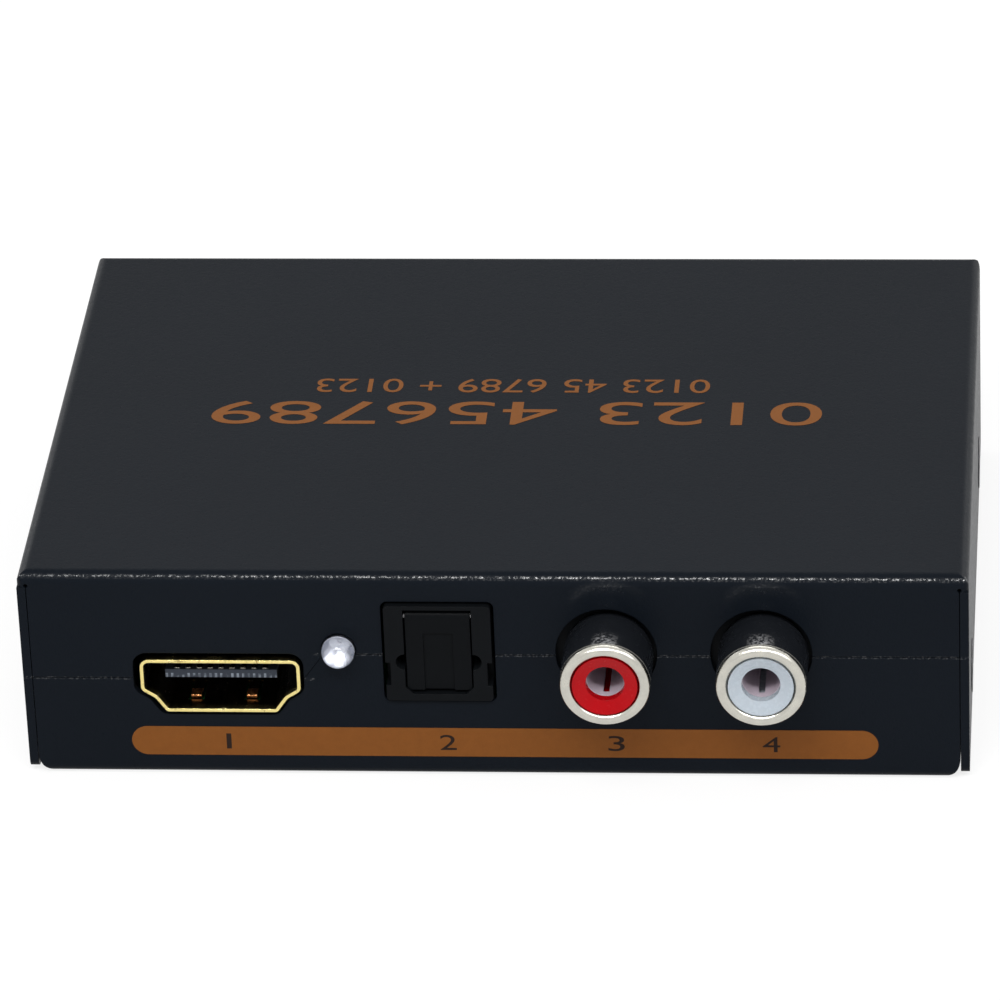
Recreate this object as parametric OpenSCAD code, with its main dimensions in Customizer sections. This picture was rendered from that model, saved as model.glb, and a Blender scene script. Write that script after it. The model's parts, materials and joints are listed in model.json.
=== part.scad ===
// Audio extractor: a bent steel case that holds a circuit board with its sockets,
// a status light and a mode switch. Lengths are in millimetres.
// X runs along the front, Y from the front to the rear and Z up.
// The origin is at the middle of the base.

/* [Case] */
// Width of the case
case_w = 86; // [84:0.5:90]
// Depth of the case from the front plate to the rear plate
case_d = 62; // [60:0.5:68]
// Height of the case
case_h = 21.2; // [20.8:0.1:24]
// Thickness of the sheet steel
sheet_t = 0.8; // [0.7:0.05:0.9]
// Outside radius of the bends
bend_r = 1.1; // [1.1:0.05:1.6]
// Rounding of the cover's four top corners, seen from above
corner_r = 0.7; // [0.4:0.1:1.2]
// Gap between the cover and the tray
fit_gap = 0.07; // [0.05:0.01:0.2]
// Height of the cover's side edges above the base
side_lift = 0.5; // [0.3:0.1:0.9]
// Height of the tray's side flanges
flange_h = 9; // [8:0.5:12]

/* [Board] */
// Thickness of the circuit board
board_t = 1.6; // [1:0.1:1.8]
// Height of the standoffs above the floor of the tray
standoff_h = 3.8; // [3.4:0.1:4.2]
// Distance from the board's side edges to the outside of the case
board_side_gap = 4.5; // [4.3:0.1:5.5]
// Gap between the board and the front and rear plates
board_end_gap = 0.5; // [0.3:0.1:1]
// Distance of the mounting holes from the board's side edges
hole_side_inset = 4; // [3.6:0.1:4.2]
// Distance of the front mounting holes from the board's front edge
hole_front_inset = 15.5; // [15:0.5:17]
// Distance of the rear mounting holes from the board's rear edge
hole_rear_inset = 6; // [5:0.5:9]

/* [Screws] */
// Thread diameter of all the screws
screw_d = 3; // [2.5:0.1:3]
// Head diameter of the countersunk screws in the sides
side_head_d = 5; // [4.6:0.1:5.6]
// Length of the side screws
side_screw_len = 4; // [3.2:0.1:4.1]
// Height of the side screws above the base
side_screw_z = 5; // [4.4:0.1:5.6]
// Distance of the side screws from the front and rear faces
side_screw_inset = 12; // [10:0.5:16]
// Head diameter of the screws that hold the board
board_head_d = 5.4; // [4.8:0.1:5.6]
// Head height of the screws that hold the board
board_head_h = 1.8; // [1.2:0.1:2.4]

/* [Video sockets] */
// Outer width of a video socket's shell
video_w = 14.6; // [14.5:0.05:14.9]
// Outer height of a video socket's shell
video_h = 5.45; // [5.4:0.05:5.7]
// Length of a video socket's shell
video_len = 11.5; // [11:0.5:14]
// Thickness of the shell
shell_t = 0.3; // [0.25:0.05:0.4]
// Centre of the output socket from the middle of the case, to the left
video_out_left = 24.9; // [24.4:0.1:25.2]
// Centre of the input socket from the middle of the case, to the right
video_in_right = 0; // [-2:0.5:4]
// Height of the sockets' centre above the board
video_rise = 3.5; // [3.4:0.05:3.7]
// How far a shell stands out of its plate
video_proud = 0.4; // [0.2:0.1:1]
// Gap between a shell and the opening in its plate
video_gap = 0.5; // [0.35:0.01:0.55]
// Width of the tongue inside a socket
tongue_w = 10.2; // [10:0.1:10.6]
// Thickness of the tongue
tongue_t = 0.8; // [0.75:0.05:1]

/* [Status light] */
// Diameter of the light's dome
light_d = 3; // [2.8:0.1:3.2]
// Centre of the light from the middle of the case, to the left
light_left = 14; // [13.8:0.1:14.4]
// Gap between the dome and its hole
light_gap = 0.07; // [0.05:0.01:0.2]

/* [Optical socket] */
// Width of the housing
optical_w = 9.7; // [9.5:0.1:10]
// Depth of the housing from its face to its back
optical_len = 13.4; // [13:0.1:15]
// Centre of the socket from the middle of the case, to the left
optical_left = 4.9; // [4.6:0.1:5.2]
// Height of the nose that stands in the front plate
nose_h = 9.9; // [9.7:0.1:10.2]
// How far the nose stands out of the front plate
nose_proud = 0.4; // [0.2:0.1:0.8]
// Gap between the nose and the opening in the front plate
nose_gap = 0.27; // [0.15:0.01:0.35]
// Width of the shutter
shutter_w = 5.9; // [5.6:0.1:6]
// Height of the shutter
shutter_h = 8.2; // [8:0.1:8.3]
// Thickness of the shutter
shutter_t = 0.9; // [0.7:0.05:1]
// Gap round the shutter
shutter_gap = 0.15; // [0.1:0.01:0.2]
// Depth of the cavity behind the face
cavity_len = 9; // [8.6:0.1:9.4]

/* [Audio sockets] */
// Diameter of the metal shells
phono_d = 8.2; // [8:0.1:8.4]
// Distance between the two sockets
phono_pitch = 14; // [13.5:0.1:14.5]
// Centre of the left socket from the middle of the case, to the right
phono_right = 10.5; // [10.2:0.1:11.2]
// How far the shells stand out of the front plate
phono_proud = 6; // [5:0.1:8]
// Diameter of the holes in the front plate
phono_hole_d = 9.2; // [8.8:0.1:9.6]
// Diameter of the coloured insert inside the rim
insert_d = 6; // [5.8:0.1:6.2]
// Diameter of the hole in the coloured insert
insert_bore_d = 3.5; // [3.4:0.05:3.6]

/* [Power socket] */
// Distance of the power socket's centre from the right side of the case
power_inset = 17; // [16:0.5:18]
// Width of the power socket's body
power_w = 9; // [8.8:0.1:9.4]
// Gap between the power socket's body and the top of the cover
power_head_gap = 3; // [2.6:0.1:3.4]
// Length of the body behind the rear plate
power_len = 13; // [12:0.5:14]
// Bore of the power socket
power_bore_d = 6.3; // [6:0.1:6.4]
// Diameter of the centre pin
power_pin_d = 2; // [1.7:0.1:2.5]

/* [Mode switch] */
// Distance of the switch's centre from the left side of the case
switch_inset = 21; // [20:0.5:23]
// Width of the switch's steel frame
switch_w = 13.5; // [13:0.1:14]
// Height of the switch's steel frame
switch_h = 6.2; // [6:0.1:6.4]
// Distance between neighbouring positions of the slider
switch_step = 2; // [1.6:0.1:2.1]
// How far the knob stands out of the rear plate
knob_proud = 2.4; // [1.6:0.1:4]

/* [Hidden] */

$fn = 48;
// Overrun of every cut
over = 1;
// Play round a press-fitted or threaded piece
play = 0.04;

// Case
inner_w = case_w - 2 * sheet_t;
inner_d = case_d - 2 * sheet_t;
tray_w = inner_w - 2 * fit_gap;
front_y = -case_d / 2;
rear_y = case_d / 2;
// Radius of the relief holes at the ends of the corner slits
relief_r = 0.2;
relief_z = case_h - bend_r - relief_r;
// Rounding of the lower corners of the cover's sides
side_corner_r = 1;
// Rounding of the lower corners of the tray's front and rear plates
plate_corner_r = 2;
// Room between the tray's side flanges and its end plates
flange_end_gap = 0.8;
// Part of the gap between the light and the output socket that the seam's step takes
seam_step_w = 1.9;
// How far the high seam lies below the centre of the audio sockets
seam_drop = 0.3;
// Height of the low seam above the centre of the video sockets
seam_low_rise = 0.55;
// How far the front plate's openings for the video and audio sockets lie off their centres, to the left
opening_shift = 0.2;

// Board
board_w = case_w - 2 * board_side_gap;
board_d = inner_d - 2 * board_end_gap;
board_low = sheet_t + standoff_h;
board_top = board_low + board_t;
board_front = -board_d / 2;
board_rear = board_d / 2;
hole_places = [for (side = [-1, 1]) each [
    [side * (board_w / 2 - hole_side_inset), board_front + hole_front_inset],
    [side * (board_w / 2 - hole_side_inset), board_rear - hole_rear_inset]]];
// Play round a lead in its hole in the board
lead_play = 0.15;
// Length of the leads below the board
lead_out = 1.2;
// Thickness of the stamped leads
lead_t = 0.5;

// Free height between the board and the top of the cover
room_h = case_h - sheet_t - board_top;
// Shares of that height at which the audio sockets and, below, the light have their centres
phono_rise_share = 0.492;
phono_rise = phono_rise_share * room_h;
// Share of the optical socket's free height that lies below its nose
nose_rise_share = 0.488;
nose_rise = nose_rise_share * (room_h - nose_h);

// Screws
side_screw_places = [for (side = [-1, 1], end = [-1, 1]) [side, end * (case_d / 2 - side_screw_inset)]];
// How far the countersunk heads stand out of the sides
head_proud = 0.1;
// Width, reach and depth of a screw's cross recess
cross_w = 0.75;
cross_reach = 1.5;
cross_depth = 0.9;
board_screw_len = standoff_h + board_t - sheet_t;
// Width of a standoff across its flats where it sits in the floor
standoff_flats = 6;
// Diameter of a standoff's round post
standoff_d = 5;

// Video sockets
video_z = board_top + video_rise;
video_out_x = -video_out_left;
video_in_x = video_in_right;
// Half outline of a video shell: a tall upper part, a step and a narrow foot
video_upper_h = 3.2;
video_step_w = 1.25;
video_step_h = 0.8;
video_foot_w = 10.1;
video_radii = [0.8, 0.7, 1.1, 0.5];
// Recess of the tongue behind the shell's face, and its gap below the shell's roof
tongue_recess = 0.8;
tongue_drop = 1.15;
// Length of the solid block at the back of the shell
video_block_len = 3.6;
// Play between the block and the shell
block_play = 0.03;
contact_pitch = 1;
contact_w = 0.45;
contact_t = 0.2;
// Numbers of contacts below and above the tongue
lower_contacts = 10;
upper_contacts = 9;
// Depth of the grooves that hold the contacts
groove = 0.12;
// Distance of the contact tails behind the block, and between their two rows
tail_gap = 0.5;
tail_row = 0.9;
foot_len = 0.7;
// Spring fingers in the floor of the shell
finger_w = 0.95;
finger_len = 3.4;
finger_x = 2.55;
finger_slot = 0.25;
finger_rise = 0.5;
// Distance of a finger's tip behind the tongue's front, and its height as a share of the rise
finger_back = 0.9;
finger_tip_share = 0.6;
// Tabs that hold the shell in the board
tab_len = 1.6;
tab_front = 3.6;
tab_rear = 9.2;

// Status light
light_rise_share = 0.514;
light_z = board_top + light_rise_share * room_h;
light_x = -light_left;
light_rim_d = 3.8;
light_rim_t = 1;
light_body_len = 3.8;
// Distance of the dome's centre in front of the front plate
light_proud = 0.6;
lead_pitch = 2.54;
lead_back = 2.4;

// Optical socket
optical_x = -optical_left;
nose_y = front_y - nose_proud;
nose_low = board_top + nose_rise;
nose_top = nose_low + nose_h;
optical_back = nose_y + optical_len;
// Wall above the cavity and recess of the shutter behind the nose's face
optical_roof = 0.4;
shutter_recess = 0.25;
cavity_w = shutter_w + 2 * shutter_gap;
cavity_top = nose_top - optical_roof;
hinge_r = 0.75;
hinge_pin_r = 0.3;
hinge_play = 0.05;
shutter_top = cavity_top - 2 * shutter_gap;
shutter_low = shutter_top - shutter_h;
cavity_low = shutter_low - 2 * shutter_gap;
cavity_chamfer = 0.7;
hinge_y = nose_y + shutter_recess + hinge_r;
hinge_z = shutter_top - hinge_r;
shutter_chamfer = 1;
channel_w = 2.7;
channel_depth = 0.2;
// Half-round grooves at the sides of the cavity, and how far up they lie
latch_r = 0.8;
latch_len = 5;
latch_share = 0.383;
latch_z = cavity_low + latch_share * (cavity_top - cavity_low);
side_slot_h = 2.4;
side_slot_w = 0.45;
side_slot_len = 1.6;
side_slot_share = 0.53;
nose_corner_r = 0.35;
ferrule_r = 1.6;
ferrule_z = latch_z;
emitter_w = 6.4;
emitter_h = 6.4;
emitter_len = 2.6;
lens_r = 0.8;
// Spring round the hinge pin, with one arm that runs up to the housing's roof
spring_wire = 0.2;
spring_r = hinge_pin_r + hinge_play + spring_wire / 2 + play;
spring_turns = 3;
spring_pitch = 0.3;
spring_len = spring_turns * spring_pitch;
spring_room_r = spring_r + spring_wire / 2 + play;

// Audio sockets
phono_z = board_top + phono_rise;
phono_x = [phono_right, phono_right + phono_pitch];
phono_tip = front_y - phono_proud;
phono_wall = 0.55;
rim_r = (phono_d - insert_d) / 4;
funnel_depth = 0.5;
insert_recess = 0.15;
sleeve_t = 0.22;
sleeve_recess = 1.3;
sleeve_slot = 0.55;
// Length of the tight seat that holds a sleeve's front end, and the room round the rest of it
sleeve_seat = 0.7;
sleeve_room = 0.4;
block_len = 9.8;
// Gap between the block and the top of the cover
block_head_gap = 1.4;
block_h = room_h - block_head_gap;
block_margin = 6.2;
// Gap between the front plate and the housings behind it
block_gap = 0.15;
block_y = front_y + sheet_t + block_gap;
block_r = 0.6;
shell_seat = 2.4;
// How much narrower a shell is where the block holds it
seat_step = 0.3;

// Power socket
power_x = case_w / 2 - power_inset;
power_h = room_h - power_head_gap;
power_rise_share = 0.58;
power_z = board_top + power_rise_share * power_h;
collar_wall = 0.75;
collar_d = power_bore_d + 2 * collar_wall;
collar_gap = 0.2;
power_bore_len = 10.4;
power_pin_recess = 1.2;
power_gap = 0.12;
power_step_h = 5.6;
// How much slimmer the round rear part is than the body
barrel_step = 0.25;

// Mode switch
switch_x = switch_inset - case_w / 2;
switch_z = board_top + switch_h / 2;
frame_t = 0.35;
switch_len = 4.6;
switch_gap = 0.15;
slider_play = 0.12;
carriage_w = 6.6;
carriage_len = 1.7;
switch_base_len = 1.9;
knob_w = 2.5;
knob_h = 2.1;
knob_slot_play = 0.3;
terminal_count = 4;
terminal_pitch = 2;
terminal_w = 0.5;
terminal_back = 0.5;
rib_count = 3;

// Shares of the board's width and depth at which its parts stand
processor_share = [-0.06, 0];
audio_share = [0.22, -0.02];
memory_share = [-0.25, 0.12];
crystal_share = [-0.29, -0.03];
inductor_share = [0.18, 0.2];
regulator_share = [0.4, 0];
capacitor_shares = [[0.08, 0.2], [0.3, 0.12], [0.06, -0.14]];
// Rows of small chips: the share at which a row starts, the step of a row and its number of chips
chip_step_share = 0.045;
chip_rows = [[[-0.12, 0.16], [1, 0], 4], [[-0.12, 0.2], [1, 0], 2], [[-0.18, -0.07], [0, 1], 3],
    [[0.08, -0.03], [0, 1], 3], [[0.31, -0.05], [0, 1], 2], [[-0.42, -0.02], [0, 1], 3]];
chip_shares = [for (row = chip_rows, i = [0 : row[2] - 1]) row[0] + i * chip_step_share * row[1]];
processor_w = 12;
processor_h = 1.4;
chip_lead_pitch = 0.8;
chip_lead_out = 1;
chip_lead_t = 0.2;
chip_lead_w = 0.4;
processor_leads = 13;
audio_w = 5.4;
audio_len = 9;
audio_leads = 7;
audio_h = 1.6;
memory_w = 4;
memory_len = 5;
memory_leads = 4;
crystal_w = 10.4;
crystal_d = 4.6;
crystal_h = 3.4;
crystal_base_h = 0.5;
can_d = 5.2;
can_h = 5.4;
can_base_w = 5.6;
can_base_h = 0.9;
can_cut_share = 0.14;
inductor_w = 6.6;
inductor_h = 3.4;
inductor_cut = 1.2;
regulator_w = 6.2;
regulator_d = 3.6;
regulator_h = 1.7;
regulator_tab_w = 3;
chip_w = 2;
chip_d = 1.25;
chip_h = 0.7;
chip_cap = 0.3;

// Colours
steel_black = [0.12, 0.125, 0.14];
gold = [0.85, 0.62, 0.28];
nickel = [0.78, 0.77, 0.74];
socket_black = [0.09, 0.09, 0.1];
tongue_blue = [0.24, 0.27, 0.33];
board_green = [0.06, 0.28, 0.16];

// Points and outlines
function unit(v) = v / norm(v);
function around(points, i) = points[(i + len(points)) % len(points)];
function turn(a, b, c) = sign((b[0] - a[0]) * (c[1] - b[1]) - (b[1] - a[1]) * (c[0] - b[0]));
function normal(a, b) = let (d = unit(b - a)) [d[1], -d[0]];
// A closed outline, given anticlockwise, moved outwards by g
function grown(points, g) = [for (i = [0 : len(points) - 1])
    let (b = points[i], m = normal(around(points, i - 1), b), n = normal(b, around(points, i + 1)))
    b + g * (m + n) / (1 + m * n)];
// The arc that replaces the corner b between a and c
function corner_arc(a, b, c, r, steps) =
    let (u = unit(a - b), v = unit(c - b), half = acos(u * v) / 2,
        centre = b + unit(u + v) * r / sin(half), p = b + u * r / tan(half) - centre,
        start = atan2(p[1], p[0]), sweep = turn(a, b, c) * (180 - 2 * half))
    [for (k = [0 : steps]) centre + r * [cos(start + sweep * k / steps), sin(start + sweep * k / steps)]];
function rounded(points, radii, steps = 6) = [for (i = [0 : len(points) - 1])
    each corner_arc(around(points, i - 1), points[i], around(points, i + 1), radii[i], steps)];
// An outline with rounded corners, moved outwards by g
function offset_outline(points, radii, g) = rounded(grown(points, g), [for (i = [0 : len(points) - 1])
    radii[i] + g * turn(around(points, i - 1), points[i], around(points, i + 1))]);

module along_x(length) { rotate([90, 0, 90]) linear_extrude(length, center = true) children(); }
module along_y(length) { rotate([90, 0, 0]) linear_extrude(length, center = true) children(); }
// Stand a drawing up so that it faces the front, and give it a depth that runs rearwards from y
module from_y(y, length) { translate([0, y + length / 2, 0]) along_y(length) children(); }
// A round bar that runs rearwards from y
module bar_y(y, length, r) { translate([0, y, 0]) rotate([-90, 0, 0]) cylinder(h = length, r = r); }
module block(low, high) { translate(low) cube(high - low); }
module round_rect(w, h, r) {
    square([w - 2 * r, h], center = true);
    square([w, h - 2 * r], center = true);
    for (x = [-1, 1], y = [-1, 1]) translate([x * (w / 2 - r), y * (h / 2 - r)]) circle(r);
}
// A rectangle that stands on the X axis and has its two upper corners rounded
module arch(w, h, r) {
    translate([-w / 2, 0]) square([w, h - r]);
    translate([-w / 2 + r, 0]) square([w - 2 * r, h]);
    for (side = [-1, 1]) translate([side * (w / 2 - r), h - r]) circle(r);
}
// A block that stands on the floor and has the four edges of its top rounded
module bent_block(w, d, h, r) {
    intersection() {
        along_y(d) arch(w, h, r);
        along_x(w) arch(d, h, r);
    }
}

// Case
seam_low = video_z + seam_low_rise;
seam_high = phono_z - seam_drop;
// The half plane below the seam, whose step runs up from x over the width seam_step_w
module below_seam(x, drop) {
    translate([0, -drop]) polygon([[-case_w, -over], [case_w, -over], [case_w, seam_high],
        [x + seam_step_w, seam_high], [x, seam_low], [-case_w, seam_low]]);
}
front_seam_x = video_out_x - opening_shift + video_w / 2 + video_gap;
rear_seam_x = power_x - power_w / 2 - seam_step_w;
module end_seams(drop) {
    from_y(front_y - over, 2 * sheet_t + over) below_seam(front_seam_x, drop);
    from_y(rear_y - 2 * sheet_t, 2 * sheet_t + over) below_seam(rear_seam_x, drop);
}
// Openings in the front and rear plates, shared by the cover and the tray
module end_openings() {
    cut = sheet_t + 2 * over;
    front_cut = front_y - over;
    rear_cut = rear_y - sheet_t - over;
    translate([video_out_x - opening_shift, 0, video_z]) from_y(front_cut, cut) video_outline(video_gap);
    translate([light_x, 0, light_z]) bar_y(front_cut, cut, light_d / 2 + light_gap);
    translate([optical_x, 0, (nose_low + nose_top) / 2]) from_y(front_cut, cut)
        round_rect(optical_w + 2 * nose_gap, nose_h + 2 * nose_gap, nose_corner_r + nose_gap);
    for (x = phono_x) translate([x - opening_shift, 0, phono_z]) bar_y(front_cut, cut, phono_hole_d / 2);
    translate([video_in_x, 0, video_z]) from_y(rear_cut, cut) video_outline(video_gap);
    translate([power_x, 0, power_z]) bar_y(rear_cut, cut, collar_d / 2 + collar_gap);
    translate([switch_x, 0, switch_z]) from_y(rear_cut, cut)
        square([knob_w + 2 * (switch_step + knob_slot_play), knob_h + 2 * knob_slot_play], center = true);
}

module top_cover() {
    top_zone = relief_z - relief_r;
    color(steel_black) difference() {
        intersection() {
            bent_block(case_w, case_d, case_h, bend_r);
            union() {
                linear_extrude(case_h + over) round_rect(case_w, case_d, corner_r);
                linear_extrude(top_zone) square([case_w, case_d], center = true);
            }
        }
        translate([0, 0, -over])
            bent_block(inner_w, inner_d, case_h - sheet_t + over, bend_r - sheet_t);
        block([-case_w, -case_d, -over], [case_w, case_d, side_lift]);
        for (a = [0, 180]) rotate(a) translate([0, front_y, side_lift]) along_x(2 * case_w) difference() {
            translate([-over, -over]) square(side_corner_r + over);
            translate([side_corner_r, side_corner_r]) circle(side_corner_r);
        }
        intersection() {
            translate([-inner_w / 2, -case_d, -over]) cube([inner_w, 2 * case_d, case_h]);
            end_seams(-fit_gap);
        }
        for (side = [-1, 1], end = [-1, 1]) translate([side * (inner_w - fit_gap) / 2, end * case_d / 2, 0]) {
            translate([0, 0, relief_z / 2]) cube([fit_gap, 2 * (sheet_t + fit_gap), relief_z], center = true);
            translate([0, 0, relief_z]) rotate([90, 0, 0])
                cylinder(h = 2 * (sheet_t + fit_gap), r = relief_r, center = true);
        }
        end_openings();
        for (p = side_screw_places) translate([p[0] * case_w / 2, p[1], side_screw_z])
            rotate([0, p[0] * 90, 0]) side_screw_shape(play);
    }
}

module bottom_tray() {
    flange_x = tray_w / 2 - sheet_t;
    color(steel_black) difference() {
        translate([0, 0, case_h]) mirror([0, 0, 1]) bent_block(tray_w, case_d, case_h, bend_r);
        translate([0, 0, case_h + over]) mirror([0, 0, 1])
            bent_block(tray_w - 2 * sheet_t, inner_d, case_h + over - sheet_t, bend_r - sheet_t);
        // What stands above the seam, and above the side flanges
        difference() {
            block([-case_w, -case_d, seam_low], [case_w, case_d, case_h + over]);
            end_seams(0);
        }
        block([-case_w, -inner_d / 2, flange_h], [case_w, inner_d / 2, case_h]);
        for (a = [0, 180], end = [-1, 1]) rotate(a) translate([-tray_w / 2, end * case_d / 2, 0])
            along_y(2 * sheet_t + 2 * flange_end_gap) difference() {
                translate([-over, -over]) square(plate_corner_r + over);
                translate([plate_corner_r, plate_corner_r]) circle(plate_corner_r);
            }
        for (side = [-1, 1], end = [-1, 1])
            translate([side * (flange_x + sheet_t / 2 + over / 2), end * (inner_d / 2 - flange_end_gap / 2),
                (sheet_t + case_h) / 2])
                cube([sheet_t + over, flange_end_gap, case_h - sheet_t], center = true);
        end_openings();
        for (p = side_screw_places) translate([p[0] * (case_w / 2), p[1], side_screw_z])
            rotate([0, p[0] * -90, 0]) cylinder(h = side_screw_len + over, r = screw_d / 2 + play);
        for (p = hole_places) translate([p[0], p[1], -over]) linear_extrude(sheet_t + 2 * over)
            hexagon(standoff_flats + 2 * play);
    }
}

module hexagon(flats) { circle(r = flats / 2 / cos(30), $fn = 6); }

// Screws
module cross_recess(top) {
    for (a = [0, 90]) rotate(a) translate([0, 0, top - cross_depth / 2 + over / 2])
        cube([2 * cross_reach, cross_w, cross_depth + over], center = true);
}
// A countersunk screw that points down, with the sheet's outer face at zero
module side_screw_shape(grow) {
    head_r = side_head_d / 2 + grow;
    shank_r = screw_d / 2 + grow - play;
    translate([0, 0, -sheet_t]) cylinder(h = sheet_t, r1 = shank_r, r2 = head_r);
    cylinder(h = head_proud + grow, r = head_r);
    translate([0, 0, -side_screw_len]) cylinder(h = side_screw_len, r = shank_r);
}
module side_screws() {
    color(nickel) for (p = side_screw_places) translate([p[0] * case_w / 2, p[1], side_screw_z])
        rotate([0, p[0] * 90, 0]) difference() {
            side_screw_shape(0);
            cross_recess(head_proud);
        }
}
module board_standoffs() {
    color(nickel) for (p = hole_places) translate([p[0], p[1], 0]) difference() {
        union() {
            linear_extrude(sheet_t) hexagon(standoff_flats);
            cylinder(h = board_low, d = standoff_d);
        }
        translate([0, 0, sheet_t]) cylinder(h = board_low, r = screw_d / 2 + play);
    }
}
module board_screws() {
    color(nickel) for (p = hole_places) translate([p[0], p[1], board_top]) difference() {
        union() {
            translate([0, 0, -board_screw_len]) cylinder(h = board_screw_len, d = screw_d);
            cylinder(h = board_head_h, d = board_head_d);
        }
        cross_recess(board_head_h);
    }
}

// Board, with a hole or a slot for every lead and tab
module main_board() {
    color(board_green) difference() {
        block([-board_w / 2, board_front, board_low], [board_w / 2, board_rear, board_top]);
        for (p = hole_places) translate([p[0], p[1], board_low - over])
            cylinder(h = board_t + 2 * over, r = screw_d / 2 + lead_play);
        place_video_out() video_tabs(lead_play);
        place_video_in() video_tabs(lead_play);
        light_leads(lead_play);
        emitter_leads(lead_play);
        phono_leads(lead_play);
        power_leads(lead_play);
        switch_pins(lead_play);
        switch_legs(lead_play);
    }
}
// A square lead that goes down through the board from the height z
module lead(x, y, z, w, d, grow) {
    block([x - w / 2 - grow, y - d / 2 - grow, board_low - lead_out - grow],
        [x + w / 2 + grow, y + d / 2 + grow, z + grow]);
}

// Video sockets, drawn with the shell's face at zero, open to the front
module place_video_out() { translate([video_out_x, front_y - video_proud, video_z]) children(); }
module place_video_in() { translate([video_in_x, rear_y + video_proud, video_z]) rotate(180) children(); }
video_half = [[video_foot_w / 2, -video_h / 2],
    [video_w / 2 - video_step_w, video_h / 2 - video_upper_h - video_step_h],
    [video_w / 2, video_h / 2 - video_upper_h], [video_w / 2, video_h / 2]];
video_points = concat(video_half, [for (i = [3 : -1 : 0]) [-video_half[i][0], video_half[i][1]]]);
video_corner_radii = [for (i = [3, 2, 1, 0, 0, 1, 2, 3]) video_radii[i]];
module video_outline(g) { polygon(offset_outline(video_points, video_corner_radii, g)); }
tongue_top = video_h / 2 - shell_t - tongue_drop;
tongue_low = tongue_top - tongue_t;
video_block_y = video_len - video_block_len;

module video_tabs(grow) {
    for (side = [-1, 1], y = [tab_front, tab_rear])
        block([side * (video_w - shell_t) / 2 - shell_t / 2 - grow, y - tab_len / 2 - grow,
            -video_rise - board_t - lead_out - grow],
            [side * (video_w - shell_t) / 2 + shell_t / 2 + grow, y + tab_len / 2 + grow, 0]);
}
finger_y = tongue_recess + finger_back;
module video_finger_slots() {
    floor_z = -video_h / 2;
    for (x = [-finger_x, finger_x]) difference() {
        block([x - finger_w / 2 - finger_slot, finger_y, floor_z - over],
            [x + finger_w / 2 + finger_slot, finger_y + finger_len, floor_z + shell_t + over]);
        block([x - finger_w / 2, finger_y + finger_slot, floor_z - 2 * over],
            [x + finger_w / 2, finger_y + finger_len + over, floor_z + shell_t + 2 * over]);
    }
}
// The raised tip of a spring finger, a low ridge across it
module video_finger_tips() {
    floor_z = -video_h / 2 + shell_t;
    for (x = [-finger_x, finger_x]) translate([x, finger_y + finger_slot, floor_z]) along_x(finger_w)
        polygon([[0, -shell_t], [finger_len / 2, -shell_t], [finger_len / 2, 0],
            [finger_len / 4, finger_rise], [0, finger_tip_share * finger_rise]]);
}
module video_shell() {
    difference() {
        union() {
            from_y(0, video_len) difference() {
                video_outline(0);
                video_outline(-shell_t);
            }
            video_tabs(0);
        }
        video_finger_slots();
    }
    video_finger_tips();
}
// Bent contact strip, drawn in the plane that runs from front to rear
module contact_path(z, tail_y, grow) {
    front = tongue_recess + contact_t;
    foot_z = -video_rise;
    polygon([[front - grow, z - grow], [tail_y + contact_t + grow, z - grow],
        [tail_y + contact_t + grow, z + contact_t + grow], [front - grow, z + contact_t + grow]]);
    polygon([[tail_y - grow, foot_z], [tail_y + contact_t + grow, foot_z],
        [tail_y + contact_t + grow, z + contact_t + grow], [tail_y - grow, z + contact_t + grow]]);
    polygon([[tail_y, foot_z], [tail_y + foot_len, foot_z], [tail_y + foot_len, foot_z + contact_t],
        [tail_y, foot_z + contact_t]]);
}
module contact_row(count, z, tail_y, grow) {
    for (i = [0 : count - 1]) translate([(i - (count - 1) / 2) * contact_pitch, 0, 0])
        along_x(contact_w + 2 * grow) contact_path(z, tail_y, grow);
}
module video_contacts(grow = 0) {
    contact_row(lower_contacts, tongue_low - contact_t + groove, video_len + tail_gap, grow);
    contact_row(upper_contacts, tongue_top - groove, video_len + tail_gap + tail_row, grow);
}
module video_tongue() {
    difference() {
        union() {
            from_y(video_block_y, video_block_len) video_outline(-shell_t - block_play);
            block([-tongue_w / 2, tongue_recess, tongue_low], [tongue_w / 2, video_block_y + play, tongue_top]);
        }
        video_contacts(play);
    }
}
module video_out_shell() { color(gold) place_video_out() video_shell(); }
module video_in_shell() { color(gold) place_video_in() video_shell(); }
module video_out_tongue() { color(tongue_blue) place_video_out() video_tongue(); }
module video_in_tongue() { color(tongue_blue) place_video_in() video_tongue(); }
module video_out_contacts() { color(nickel) place_video_out() video_contacts(); }
module video_in_contacts() { color(nickel) place_video_in() video_contacts(); }

// Status light
light_back = front_y + light_body_len;
module status_light() {
    color([0.85, 0.88, 0.9, 0.8]) translate([light_x, 0, light_z]) {
        rotate([90, 0, 0]) rotate_extrude() intersection() {
            union() {
                translate([0, light_proud - front_y]) circle(d = light_d);
                translate([0, -light_back]) square([light_d / 2, light_body_len + light_proud]);
                translate([0, -light_back]) square([light_rim_d / 2, light_rim_t]);
            }
            translate([0, -light_back]) square([case_w, case_d]);
        }
    }
}
module light_leads(grow) {
    for (side = [-1, 1]) {
        x = light_x + side * lead_pitch / 2;
        y = light_back + lead_back;
        block([x - lead_t / 2 - grow, light_back, light_z - lead_t / 2 - grow],
            [x + lead_t / 2 + grow, y + lead_t / 2 + grow, light_z + lead_t / 2 + grow]);
        lead(x, y, light_z + lead_t / 2, lead_t, lead_t, grow);
    }
}
module status_light_leads() { color(nickel) light_leads(0); }

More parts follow.
